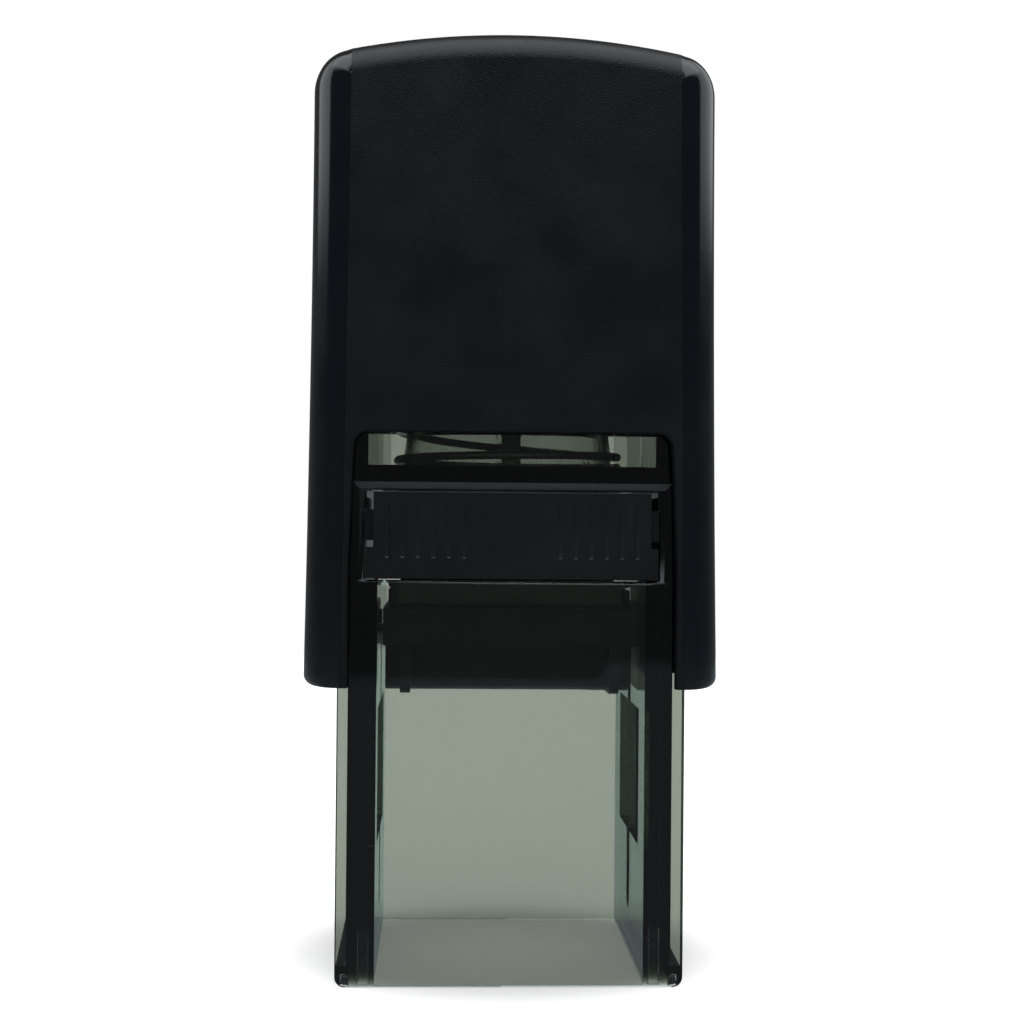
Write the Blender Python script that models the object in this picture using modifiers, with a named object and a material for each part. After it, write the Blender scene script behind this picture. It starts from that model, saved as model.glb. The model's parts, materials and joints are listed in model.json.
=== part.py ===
"""Self inking stamp with a square die: smoked clear base, black cap, flipping die and slide-in pad.

World frame: metres, +Z up, origin at the middle of the foot's underside, front towards -Y.
Rest state: the cap is up on its spring, and the die faces up under the ink pad.
"""

import math

import bmesh
import bpy
from mathutils import Matrix, Vector

MM = 0.001

# Driving dimensions: the impression, and how far the cap presses down
DIE_SIDE = 20.0 * MM
DIE_FACE_RISE = 5.35 * MM      # printing face above the axle
STROKE = 24.5 * MM
AXLE_Z = STROKE + DIE_FACE_RISE  # the face meets the paper at the end of the stroke
AXLE_RADIUS = 1.0 * MM
AXLE_HALF = 16.0 * MM
BORE_GAP = 0.15 * MM           # radial clearance round the axle
FIT_GAP = 0.25 * MM            # clearance between neighbouring mouldings

# Base: front and back plates joined by two thick side walls, a deck and a spring tube
BASE_HALF_X = 15.2 * MM
BASE_HALF_Y = 14.6 * MM
BASE_TOP = 50.0 * MM
PLATE = 1.2 * MM
PLATE_IN_Y = BASE_HALF_Y - PLATE
SIDE_OUT_X = 14.3 * MM
FLANGE_IN_Y = 12.1 * MM        # the plates' side flanges are thicker than the plates
WELL_HALF_X = 11.8 * MM
FOOT_HEIGHT = 1.5 * MM
EDGE_ROUND = 0.4 * MM
SLOT_LOW = 35.2 * MM
SLOT_HIGH = 43.2 * MM
SLOT_HALF_X = 13.2 * MM
DECK_TOP = 45.5 * MM
UPPER_HALF_X = 12.7 * MM
UPPER_HALF_Y = 12.6 * MM
STEP_HALF_X = 11.4 * MM
CAM_DEPTH = 0.8 * MM
CAM_HALF_Y = 8.5 * MM
CAM_HALF_Z = 6.15 * MM
CAM_Z = AXLE_Z - STROKE / 2
AXLE_SLOT_HALF = 1.25 * MM
TUBE_RADIUS = 9.8 * MM
TUBE_BORE = 8.6 * MM
TUBE_TOP = 51.5 * MM
WEB_HALF = 0.85 * MM

# Cap: tapered sides, arched top, open windows low in the front and back
CAP_TOP = 83.3 * MM
CAP_BOTTOM = 26.15 * MM
CAP_HALF_BOTTOM = 18.25 * MM
CAP_HALF_TOP = 17.75 * MM
CAP_HALF_Y = 16.5 * MM
CAP_WALL = 1.3 * MM
ARCH_RADIUS = 72.7 * MM
SHOULDER_RADIUS = 3.6 * MM
CAP_EDGE = 2.6 * MM
WINDOW_HALF_X = 14.25 * MM
WINDOW_TOP = 48.4 * MM
BACK_WINDOW_TOP = 49.7 * MM
WINDOW_CORNER = 1.75 * MM

# Yoke: the bridge inside the cap that carries the axle beside the base's side walls
YOKE_IN_X = SIDE_OUT_X + FIT_GAP
YOKE_OUT_X = 15.7 * MM
YOKE_HALF_Y = 8.0 * MM
YOKE_BOTTOM = 27.0 * MM
YOKE_BAR_LOW = 76.7 * MM
YOKE_TOP = 78.0 * MM
SEAT_RADIUS = 11.8 * MM
BRACE_X = 8.0 * MM
BRACE_HALF = 0.6 * MM
BRACE_HALF_Y = 10.0 * MM

# Return spring round the tube, from the deck to the yoke's seat
WIRE_RADIUS = 0.375 * MM
COIL_RADIUS = 10.425 * MM
SPRING_GAP = 0.05 * MM
CLOSED_PITCH = 1.1 * MM
ACTIVE_TURNS = 5.5
STEPS_PER_TURN = 18

# Die carriage, with heights measured from the axle
CARRIAGE_HALF_X = 11.35 * MM
CARRIAGE_HALF_Y = 10.8 * MM
PLATFORM_LOW = -0.35 * MM
PLATFORM_TOP = 2.3 * MM
RIM_TOP = 3.0 * MM
RIM_IN = 10.35 * MM
HUB_LOW = -4.9 * MM
HUB_HALF_X = 11.3 * MM
HUB_HALF_Y = 4.2 * MM
RIB_LOW = -4.65 * MM
RIB_X = 9.35 * MM
RIB_HALF = 0.45 * MM
FOLLOWER_X = 11.65 * MM
FOLLOWER_Y = 6.5 * MM
FOLLOWER_RADIUS = 1.1 * MM

# The stack on the carriage: adhesive cushion, then the rubber with its raised pattern
LAYER_GAP = 0.05 * MM
CUSHION_TOP = 3.3 * MM
RUBBER_BACK_TOP = 4.45 * MM
BORDER_WIDTH = 1.2 * MM
RING_RADIUS = 5.6 * MM
RING_WIDTH = 1.1 * MM
DOT_RADIUS = 1.9 * MM

# Ink pad cartridge
PAD_LOW = 35.5 * MM
PAD_TOP = 42.9 * MM
PAD_HALF_X = 12.2 * MM
PAD_BACK = 14.5 * MM
GRIP_FRONT = -14.75 * MM
GRIP_BACK = -13.0 * MM
GRIP_HALF_X = 12.45 * MM
GRIP_LOW = 35.6 * MM
GRIP_TOP = 43.0 * MM
TAB_HALF_X = 12.95 * MM
TAB_LOW = 38.9 * MM
TAB_TOP = 41.6 * MM
TAB_BACK = -12.0 * MM
FELT_LOW = 35.7 * MM
FELT_TOP = 38.0 * MM
FELT_HALF = 10.8 * MM
FELT_POCKET_TOP = 38.3 * MM
FELT_POCKET_HALF = 11.1 * MM
TOP_POCKET_LOW = 39.8 * MM
TOP_POCKET_HALF = 10.6 * MM
GROOVES = 6
GROOVE_FIRST_X = 4.2 * MM
GROOVE_PITCH = 1.35 * MM
GROOVE_HALF = 0.3 * MM
GROOVE_DEPTH = 0.35 * MM
GROOVE_LOW = 37.2 * MM
GROOVE_TOP = 42.4 * MM
DENT_RADIUS = 3.4 * MM
DENT_DEPTH = 0.4 * MM

BEYOND = 5.0 * MM              # how far a cutter runs past the wall that it cuts
BITE = 0.2 * MM                # how deep a joined solid runs into its neighbour
MERGE = 0.000001
FLAT_ANGLE = math.radians(0.5)

PARTS = "self_inking_stamp"
CUTTERS = "cutters"


def clear_scene():
    for old in list(bpy.data.objects):
        bpy.data.objects.remove(old, do_unlink=True)


def new_collection(name):
    home = bpy.data.collections.new(name)
    bpy.context.scene.collection.children.link(home)
    return home


def new_material(name, colour, roughness, metallic=0.0, transmission=0.0):
    material = bpy.data.materials.new(name)
    material.use_nodes = True
    shader = material.node_tree.nodes["Principled BSDF"]
    shader.inputs["Base Color"].default_value = (*colour, 1.0)
    shader.inputs["Roughness"].default_value = roughness
    shader.inputs["Metallic"].default_value = metallic
    shader.inputs["Transmission Weight"].default_value = transmission
    return material


def adopt(piece, name, home):
    """Name an object and its mesh, and move it into one collection."""
    piece.name = name
    piece.data.name = name
    for other in list(piece.users_collection):
        other.objects.unlink(piece)
    bpy.data.collections[home].objects.link(piece)
    if home == CUTTERS:
        piece.hide_render = True
        piece.display_type = "WIRE"
    return piece


def box(name, low, high, home=CUTTERS):
    """A cube primitive sized to the corners low and high, with its scale applied."""
    low, high = Vector(low), Vector(high)
    bpy.ops.mesh.primitive_cube_add(size=1.0)
    piece = bpy.context.object
    piece.data.transform(Matrix.Diagonal((*(high - low), 1.0)))
    piece.location = (low + high) / 2
    return adopt(piece, name, home)


def rod(name, radius, start, end, home=CUTTERS, sides=32):
    """A cylinder primitive between two points."""
    start, end = Vector(start), Vector(end)
    bpy.ops.mesh.primitive_cylinder_add(vertices=sides, radius=radius, depth=(end - start).length)
    piece = bpy.context.object
    piece.location = (start + end) / 2
    piece.rotation_mode = "QUATERNION"
    piece.rotation_quaternion = (end - start).to_track_quat("Z", "Y")
    return adopt(piece, name, home)


def prism(name, outline, low, high, home=CUTTERS):
    """A flat outline of (x, z) points, given thickness from low to high along Y."""
    curve = bpy.data.curves.new(name, "CURVE")
    curve.dimensions = "2D"
    curve.fill_mode = "BOTH"
    curve.extrude = (high - low) / 2
    spline = curve.splines.new("POLY")
    spline.points.add(len(outline) - 1)
    spline.use_cyclic_u = True
    for point, (across, up) in zip(spline.points, outline):
        point.co = (across, up, 0.0, 1.0)
    guide = bpy.data.objects.new(name + "_outline", curve)
    piece = as_mesh(guide, name, home, flat=True)
    piece.data.transform(Matrix.Rotation(math.pi / 2, 4, "X"))
    piece.location.y = (low + high) / 2
    return piece


def as_mesh(guide, name, home, flat=False):
    """Turn a curve object into a closed mesh object and remove the curve; flat faces become whole."""
    bpy.context.scene.collection.objects.link(guide)
    graph = bpy.context.evaluated_depsgraph_get()
    mesh = bpy.data.meshes.new_from_object(guide.evaluated_get(graph))
    welded = bmesh.new()
    welded.from_mesh(mesh)
    bmesh.ops.remove_doubles(welded, verts=welded.verts, dist=MERGE)
    if flat:
        bmesh.ops.dissolve_limit(welded, angle_limit=FLAT_ANGLE, verts=welded.verts, edges=welded.edges)
    welded.to_mesh(mesh)
    welded.free()
    piece = bpy.data.objects.new(name, mesh)
    piece.matrix_world = guide.matrix_world
    bpy.data.objects.remove(guide, do_unlink=True)
    return adopt(piece, name, home)


def change(piece, other, operation):
    boolean = piece.modifiers.new(operation.lower() + "_" + other.name, "BOOLEAN")
    boolean.operation = operation
    boolean.solver = "EXACT"
    boolean.object = other


def cut(piece, *cutters):
    for cutter in cutters:
        change(piece, cutter, "DIFFERENCE")


def join(piece, *extras):
    for extra in extras:
        change(piece, extra, "UNION")


def bevel(piece, width, segments=2, angle=math.radians(40)):
    rounding = piece.modifiers.new("rounded_edges", "BEVEL")
    rounding.width = width
    rounding.segments = segments
    rounding.limit_method = "ANGLE"
    rounding.angle_limit = angle
    return piece


def finish(piece, material, smooth_angle=math.radians(30)):
    piece.data.materials.clear()
    piece.data.materials.append(material)
    piece.data.shade_smooth()
    piece.data.set_sharp_from_angle(angle=smooth_angle)
    return piece


def hold(piece, pivot):
    """Parent a piece to an empty on its joint, leaving it where it is."""
    bpy.context.view_layer.update()
    piece.parent = pivot
    piece.matrix_parent_inverse = pivot.matrix_world.inverted()


def new_pivot(name, place):
    pivot = bpy.data.objects.new(name, None)
    pivot.location = place
    bpy.data.collections[PARTS].objects.link(pivot)
    return pivot


def arc(centre, radius, start, end, steps):
    """Points on a circle between two angles in degrees, ends included."""
    points = []
    for step in range(steps + 1):
        angle = math.radians(start + (end - start) * step / steps)
        across = centre[0] + radius * math.cos(angle)
        up = centre[1] + radius * math.sin(angle)
        points.append((across, up))
    return points


def slot_outline(half, low, high, steps=8):
    """An upright slot with round ends, centred on zero."""
    return (arc((0, high - half), half, 0, 180, steps)
            + arc((0, low + half), half, 180, 360, steps))


def cap_outline(inset, bottom):
    """The cap's front silhouette, drawn in by inset."""
    arch_centre = (0.0, CAP_TOP - ARCH_RADIUS)
    shoulder_x = CAP_HALF_TOP - SHOULDER_RADIUS
    reach = ARCH_RADIUS - SHOULDER_RADIUS
    shoulder_z = arch_centre[1] + math.sqrt(reach ** 2 - shoulder_x ** 2)
    meet = math.degrees(math.asin(shoulder_x / reach))
    taper = (CAP_HALF_BOTTOM - CAP_HALF_TOP) / (shoulder_z - CAP_BOTTOM)
    bottom_x = CAP_HALF_TOP - inset + taper * (shoulder_z - bottom)
    points = [(-bottom_x, bottom), (bottom_x, bottom)]
    points += arc((shoulder_x, shoulder_z), SHOULDER_RADIUS - inset, 0, 90 - meet, 6)
    points += arc(arch_centre, ARCH_RADIUS - inset, 90 - meet, 90 + meet, 10)[1:-1]
    points += arc((-shoulder_x, shoulder_z), SHOULDER_RADIUS - inset, 90 + meet, 180, 6)
    return points


def window_outline(top):
    """The opening low in the cap's front or back, running out at the foot."""
    outline = arc((WINDOW_HALF_X - WINDOW_CORNER, top - WINDOW_CORNER), WINDOW_CORNER, 0, 90, 5)
    outline += [(-across, up) for across, up in reversed(outline)]
    return outline + [(-WINDOW_HALF_X, CAP_BOTTOM - BEYOND), (WINDOW_HALF_X, CAP_BOTTOM - BEYOND)]


def make_base_frame(material):
    base = box("base_frame", (-BASE_HALF_X, -BASE_HALF_Y, 0), (BASE_HALF_X, BASE_HALF_Y, BASE_TOP),
               PARTS)
    bevel(base, EDGE_ROUND)
    for side, name in ((-1, "left"), (1, "right")):
        outside = sorted((side * SIDE_OUT_X, side * (BASE_HALF_X + BEYOND)))
        cut(base, box("side_recess_" + name,
                      (outside[0], -FLANGE_IN_Y, FOOT_HEIGHT),
                      (outside[1], FLANGE_IN_Y, BASE_TOP + BEYOND)))
        pocket = sorted((side * STEP_HALF_X, side * (WELL_HALF_X + CAM_DEPTH)))
        cut(base, box("cam_pocket_" + name,
                      (pocket[0], -CAM_HALF_Y, CAM_Z - CAM_HALF_Z),
                      (pocket[1], CAM_HALF_Y, CAM_Z + CAM_HALF_Z)))
    well_top = (SLOT_LOW + SLOT_HIGH) / 2
    cut(base, box("well", (-WELL_HALF_X, -PLATE_IN_Y, -BEYOND), (WELL_HALF_X, PLATE_IN_Y, well_top)))
    through = BASE_HALF_Y + BEYOND
    cut(base, box("pad_slot", (-SLOT_HALF_X, -through, SLOT_LOW), (SLOT_HALF_X, through, SLOT_HIGH)))
    cut(base, box("upper_room", (-UPPER_HALF_X, -UPPER_HALF_Y, DECK_TOP),
                  (UPPER_HALF_X, UPPER_HALF_Y, BASE_TOP + BEYOND)))
    cut(base, box("upper_room_ends", (-STEP_HALF_X, -PLATE_IN_Y, DECK_TOP),
                  (STEP_HALF_X, PLATE_IN_Y, BASE_TOP + BEYOND)))
    slot = slot_outline(AXLE_SLOT_HALF, AXLE_Z - STROKE - AXLE_SLOT_HALF, AXLE_Z + AXLE_SLOT_HALF)
    slots = prism("axle_slots", slot, -BASE_HALF_X - BEYOND, BASE_HALF_X + BEYOND)
    slots.rotation_euler.z = math.pi / 2
    cut(base, slots)
    join(base, make_spring_tube())
    return finish(base, material)


def make_spring_tube():
    """A turned tube on the deck, with a web across its bore."""
    foot = DECK_TOP - BITE
    profile = [(TUBE_RADIUS, TUBE_TOP), (TUBE_RADIUS, foot), (TUBE_BORE, foot), (TUBE_BORE, TUBE_TOP)]
    mesh = bpy.data.meshes.new("spring_tube")
    turned = bmesh.new()
    points = [turned.verts.new((across, 0, up)) for across, up in profile]
    for index, point in enumerate(points):
        turned.edges.new((point, points[(index + 1) % len(points)]))
    turned.to_mesh(mesh)
    turned.free()
    tube = adopt(bpy.data.objects.new("spring_tube", mesh), "spring_tube", CUTTERS)
    screw = tube.modifiers.new("turned", "SCREW")
    screw.steps = 40
    screw.render_steps = 40
    screw.use_merge_vertices = True
    screw.merge_threshold = MERGE
    reach = TUBE_BORE + BITE
    join(tube, box("tube_web", (-WEB_HALF, -reach, foot), (WEB_HALF, reach, TUBE_TOP - BITE)))
    return tube


def make_cap_shell(material):
    cap = prism("cap_shell", cap_outline(0.0, CAP_BOTTOM - BEYOND), -CAP_HALF_Y, CAP_HALF_Y, home=PARTS)
    bevel(cap, CAP_EDGE, segments=4)
    inside = cap_outline(CAP_WALL, CAP_BOTTOM - 2 * BEYOND)
    half_in = CAP_HALF_Y - CAP_WALL
    hollow = prism("cap_hollow", inside, -half_in, half_in)
    bevel(hollow, CAP_EDGE - CAP_WALL)
    cut(cap, hollow)
    through = CAP_HALF_Y + BEYOND
    cut(cap, prism("front_opening", window_outline(WINDOW_TOP), -through, 0))
    cut(cap, prism("back_opening", window_outline(BACK_WINDOW_TOP), 0, through))
    wide = CAP_HALF_BOTTOM + BEYOND
    cut(cap, box("cap_trim", (-wide, -through, CAP_BOTTOM - 2 * BEYOND), (wide, through, CAP_BOTTOM)))
    for side, name in ((-1, "left"), (1, "right")):
        middle = side * BRACE_X
        join(cap, box("cap_brace_" + name,
                      (middle - BRACE_HALF, -BRACE_HALF_Y, YOKE_TOP + FIT_GAP),
                      (middle + BRACE_HALF, BRACE_HALF_Y, CAP_TOP - CAP_WALL)))
    return finish(cap, material)


def make_yoke(material):
    outline = [(YOKE_OUT_X, YOKE_BOTTOM), (YOKE_OUT_X, YOKE_TOP), (-YOKE_OUT_X, YOKE_TOP),
               (-YOKE_OUT_X, YOKE_BOTTOM), (-YOKE_IN_X, YOKE_BOTTOM), (-YOKE_IN_X, YOKE_BAR_LOW),
               (YOKE_IN_X, YOKE_BAR_LOW), (YOKE_IN_X, YOKE_BOTTOM)]
    yoke = prism("yoke", outline, -YOKE_HALF_Y, YOKE_HALF_Y, home=PARTS)
    seat = rod("spring_seat", SEAT_RADIUS, (0, 0, YOKE_BAR_LOW - BITE), (0, 0, YOKE_TOP - BITE),
               sides=40)
    join(yoke, seat)
    cut(yoke, axle_bore("yoke_bore"))
    return finish(yoke, material)


def axle_bore(name):
    reach = AXLE_HALF + BEYOND
    return rod(name, AXLE_RADIUS + BORE_GAP, (-reach, 0, AXLE_Z), (reach, 0, AXLE_Z), sides=24)


def make_axle(material):
    axle = rod("carriage_axle", AXLE_RADIUS, (-AXLE_HALF, 0, AXLE_Z), (AXLE_HALF, 0, AXLE_Z), PARTS, 24)
    return finish(axle, material)


def spring_points():
    """Points up the coil: a closed turn, the active turns, and a closed turn at the top."""
    low = DECK_TOP + WIRE_RADIUS + SPRING_GAP
    high = YOKE_BAR_LOW - BITE - WIRE_RADIUS - SPRING_GAP
    active_pitch = (high - low - 2 * CLOSED_PITCH) / ACTIVE_TURNS
    steps = round((ACTIVE_TURNS + 2) * STEPS_PER_TURN)
    height = low
    points = []
    for step in range(steps + 1):
        turn = step / STEPS_PER_TURN
        angle = turn * math.tau
        points.append((COIL_RADIUS * math.cos(angle), COIL_RADIUS * math.sin(angle), height))
        closed = turn < 1 or turn >= ACTIVE_TURNS + 1
        height += (CLOSED_PITCH if closed else active_pitch) / STEPS_PER_TURN
    return points


def make_return_spring(material):
    points = spring_points()
    curve = bpy.data.curves.new("return_spring", "CURVE")
    curve.dimensions = "3D"
    curve.bevel_depth = WIRE_RADIUS
    curve.bevel_resolution = 2
    curve.use_fill_caps = True
    spline = curve.splines.new("POLY")
    spline.points.add(len(points) - 1)
    for point, place in zip(spline.points, points):
        point.co = (*place, 1.0)
    spring = as_mesh(bpy.data.objects.new("spring_wire", curve), "return_spring", PARTS)
    return finish(spring, material)


def above_axle(name, low, high, home=CUTTERS):
    """A box whose heights are measured from the axle."""
    lift = Vector((0, 0, AXLE_Z))
    return box(name, Vector(low) + lift, Vector(high) + lift, home)


def make_die_carriage(material):
    carriage = above_axle("die_carriage",
                          (-CARRIAGE_HALF_X, -CARRIAGE_HALF_Y, PLATFORM_LOW),
                          (CARRIAGE_HALF_X, CARRIAGE_HALF_Y, RIM_TOP), PARTS)
    bevel(carriage, EDGE_ROUND)
    cut(carriage, above_axle("die_seat",
                             (-RIM_IN, -RIM_IN, PLATFORM_TOP),
                             (RIM_IN, RIM_IN, RIM_TOP + BEYOND)))
    join(carriage, above_axle("hub", (-HUB_HALF_X, -HUB_HALF_Y, HUB_LOW),
                              (HUB_HALF_X, HUB_HALF_Y, BITE)))
    for side, name in ((-1, "left"), (1, "right")):
        middle = side * RIB_X
        rib_half_y = CARRIAGE_HALF_Y - EDGE_ROUND
        join(carriage, above_axle("rib_" + name,
                                  (middle - RIB_HALF, -rib_half_y, RIB_LOW),
                                  (middle + RIB_HALF, rib_half_y, 2 * BITE)))
        height = AXLE_Z + (PLATFORM_LOW + PLATFORM_TOP) / 2
        join(carriage, rod("follower_" + name, FOLLOWER_RADIUS,
                           (side * (CARRIAGE_HALF_X - 2 * EDGE_ROUND), FOLLOWER_Y, height),
                           (side * FOLLOWER_X, FOLLOWER_Y, height), sides=16))
    cut(carriage, axle_bore("carriage_bore"))
    return finish(carriage, material)


def make_die_cushion(material):
    half = DIE_SIDE / 2
    foot = PLATFORM_TOP + LAYER_GAP
    cushion = above_axle("die_cushion", (-half, -half, foot), (half, half, CUSHION_TOP), PARTS)
    return finish(cushion, material)


def make_rubber_die(material):
    """Rubber back with a raised border, ring and dot."""
    half = DIE_SIDE / 2
    foot = CUSHION_TOP + LAYER_GAP
    die = above_axle("rubber_die", (-half, -half, foot), (half, half, DIE_FACE_RISE), PARTS)
    inner = half - BORDER_WIDTH
    field = above_axle("die_field", (-inner, -inner, RUBBER_BACK_TOP),
                       (inner, inner, DIE_FACE_RISE + BEYOND))
    cut(die, field)
    root = (0, 0, AXLE_Z + RUBBER_BACK_TOP - BITE)
    face = (0, 0, AXLE_Z + DIE_FACE_RISE)
    ring = rod("die_ring", RING_RADIUS, root, face, sides=40)
    above_face = (0, 0, AXLE_Z + DIE_FACE_RISE + BEYOND)
    cut(ring, rod("die_ring_inside", RING_RADIUS - RING_WIDTH, (0, 0, AXLE_Z), above_face, sides=40))
    join(die, ring, rod("die_dot", DOT_RADIUS, root, face, sides=24))
    return finish(die, material)


def make_pad_tray(material):
    tray = box("pad_tray",
               (-PAD_HALF_X, GRIP_BACK - BITE, PAD_LOW),
               (PAD_HALF_X, PAD_BACK, PAD_TOP), PARTS)
    bevel(tray, EDGE_ROUND)
    grip = box("grip", (-GRIP_HALF_X, GRIP_FRONT, GRIP_LOW), (GRIP_HALF_X, GRIP_BACK + BITE, GRIP_TOP))
    bevel(grip, EDGE_ROUND)
    tabs_front = GRIP_FRONT + 2 * EDGE_ROUND
    join(tray, grip, box("tabs", (-TAB_HALF_X, tabs_front, TAB_LOW), (TAB_HALF_X, TAB_BACK, TAB_TOP)))
    pocket, room = FELT_POCKET_HALF, TOP_POCKET_HALF
    cut(tray, box("felt_pocket", (-pocket, -pocket, PAD_LOW - BEYOND),
                  (pocket, pocket, FELT_POCKET_TOP)))
    cut(tray, box("top_pocket", (-room, -room, TOP_POCKET_LOW), (room, room, PAD_TOP + BEYOND)))
    for side in (-1, 1):
        for index in range(GROOVES):
            middle = side * (GROOVE_FIRST_X + index * GROOVE_PITCH)
            cut(tray, box("groove", (middle - GROOVE_HALF, GRIP_FRONT - BEYOND, GROOVE_LOW),
                          (middle + GROOVE_HALF, GRIP_FRONT + GROOVE_DEPTH, GROOVE_TOP)))
    dent_z = (GRIP_LOW + GRIP_TOP) / 2
    cut(tray, rod("thumb_dent", DENT_RADIUS, (0, GRIP_FRONT - BEYOND, dent_z),
                  (0, GRIP_FRONT + DENT_DEPTH, dent_z)))
    return finish(tray, material)


def make_ink_pad(material):
    felt = box("ink_pad", (-FELT_HALF, -FELT_HALF, FELT_LOW), (FELT_HALF, FELT_HALF, FELT_TOP), PARTS)
    return finish(bevel(felt, EDGE_ROUND), material)


def main():
    clear_scene()
    new_collection(PARTS)
    new_collection(CUTTERS)
    black = new_material("black_plastic", (0.012, 0.012, 0.013), 0.35)
    smoked = new_material("smoked_plastic", (0.36, 0.40, 0.35), 0.08, transmission=0.9)
    steel = new_material("spring_steel", (0.30, 0.30, 0.31), 0.3, metallic=1.0)
    foam = new_material("white_foam", (0.75, 0.74, 0.70), 0.9)
    rubber = new_material("die_rubber", (0.05, 0.05, 0.055), 0.6)
    felt = new_material("inked_felt", (0.02, 0.02, 0.025), 0.95)

    make_base_frame(smoked)
    make_return_spring(steel)
    cap_pivot = new_pivot("cap_pivot", (0, 0, CAP_BOTTOM))
    for piece in (make_cap_shell(black), make_yoke(black), make_axle(steel)):
        hold(piece, cap_pivot)
    flip_pivot = new_pivot("flip_pivot", (0, 0, AXLE_Z))
    for piece in (make_die_carriage(black), make_die_cushion(foam), make_rubber_die(rubber)):
        hold(piece, flip_pivot)
    hold(flip_pivot, cap_pivot)
    pad_pivot = new_pivot("pad_pivot", (0, GRIP_FRONT, (PAD_LOW + PAD_TOP) / 2))
    for piece in (make_pad_tray(black), make_ink_pad(felt)):
        hold(piece, pad_pivot)


main()
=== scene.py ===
"""The looks of the self inking stamp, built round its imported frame.

Everything is in metres in the row frame: +Z up, front towards -Y, origin under the middle of the foot.
"""
import json
import math

import bmesh
import bpy
from mathutils import Matrix, Vector


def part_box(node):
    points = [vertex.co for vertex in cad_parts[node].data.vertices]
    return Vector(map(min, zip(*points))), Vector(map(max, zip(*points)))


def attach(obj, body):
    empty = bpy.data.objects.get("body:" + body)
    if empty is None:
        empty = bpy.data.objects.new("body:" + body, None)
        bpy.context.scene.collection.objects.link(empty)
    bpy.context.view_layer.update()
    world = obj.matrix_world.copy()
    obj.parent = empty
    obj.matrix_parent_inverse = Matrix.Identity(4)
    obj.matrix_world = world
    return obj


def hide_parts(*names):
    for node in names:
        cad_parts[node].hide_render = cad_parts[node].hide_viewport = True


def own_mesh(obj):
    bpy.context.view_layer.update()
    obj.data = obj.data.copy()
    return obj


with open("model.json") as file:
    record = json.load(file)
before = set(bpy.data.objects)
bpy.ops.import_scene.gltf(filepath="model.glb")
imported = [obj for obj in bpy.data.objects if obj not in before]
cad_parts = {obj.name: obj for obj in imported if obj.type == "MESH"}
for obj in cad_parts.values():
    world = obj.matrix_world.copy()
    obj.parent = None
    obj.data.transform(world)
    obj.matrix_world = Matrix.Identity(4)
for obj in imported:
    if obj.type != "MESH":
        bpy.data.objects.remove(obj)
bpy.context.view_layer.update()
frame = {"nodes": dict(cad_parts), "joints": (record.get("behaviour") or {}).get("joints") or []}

MM = 0.001
QUARTER = math.pi / 2

# Places, read from the frame
CAP_LOW, CAP_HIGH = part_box("cap_shell")
BASE_LOW, BASE_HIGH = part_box("base_frame")
TRAY_LOW, TRAY_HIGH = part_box("pad_tray")
FELT_LOW, FELT_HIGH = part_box("ink_pad")
SPRING_LOW, SPRING_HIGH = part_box("return_spring")
CARRIAGE_LOW, CARRIAGE_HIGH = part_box("die_carriage")
CUSHION_LOW, CUSHION_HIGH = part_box("die_cushion")
DIE_LOW, DIE_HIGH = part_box("rubber_die")
AXLE_LOW, AXLE_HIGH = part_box("carriage_axle")
YOKE_LOW, YOKE_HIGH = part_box("yoke")
AXLE_Z = (AXLE_LOW.z + AXLE_HIGH.z) / 2
AXLE_RADIUS = (AXLE_HIGH.z - AXLE_LOW.z) / 2
STROKE = next(joint["range_m"][1] for joint in frame["joints"] if joint["name"] == "cap_press")

# Cap
CAP_HALF_TOP = 17.75 * MM
CAP_FOOT_X = 18.25 * MM
CAP_WALL = 1.3 * MM
ARCH_RADIUS = 72.7 * MM
SHOULDER_RADIUS = 3.6 * MM
SHOULDER_X = CAP_HALF_TOP - SHOULDER_RADIUS
SHOULDER_REACH = ARCH_RADIUS - SHOULDER_RADIUS
SHOULDER_Z = CAP_HIGH.z - ARCH_RADIUS + math.sqrt(SHOULDER_REACH ** 2 - SHOULDER_X ** 2)
SHOULDER_MEET = math.degrees(math.asin(SHOULDER_X / SHOULDER_REACH))
SEAM_TOP_X = 14.33 * MM        # edge of the matte centre panel
SEAM_FOOT_X = 14.83 * MM
SEAM_STEP = 0.06 * MM          # the rails lie this far below the panel
RAIL_DEPTH = 4.2 * MM
TOP_ROUND = 2.6 * MM
FOOT_ROUND = 0.9 * MM
WINDOW_FOOT_X = 14.2 * MM
WINDOW_TOP_X = 13.74 * MM
WINDOW_TOP = 48.3 * MM
BACK_WINDOW_TOP = 49.6 * MM
WINDOW_STRAIGHT = 36.0 * MM    # the window's sides lean in above this height
WINDOW_CORNER = 1.2 * MM
LIP_ROUND = 0.45 * MM
SIDE_ROWS = 30
SIDE_FLARE = 1.8              # the sides stand nearly upright and flare towards the foot
SHOULDER_STEPS = 16
ARCH_STEPS = 24
WINDOW_ROWS = 14
FILLET_STEPS = 12
LIP_STEPS = 5
BRACE_X = 8.0 * MM
BRACE_HALF = 0.6 * MM
BRACE_HALF_Y = 10.0 * MM
SIDES = {-1: "left", 1: "right"}

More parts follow.
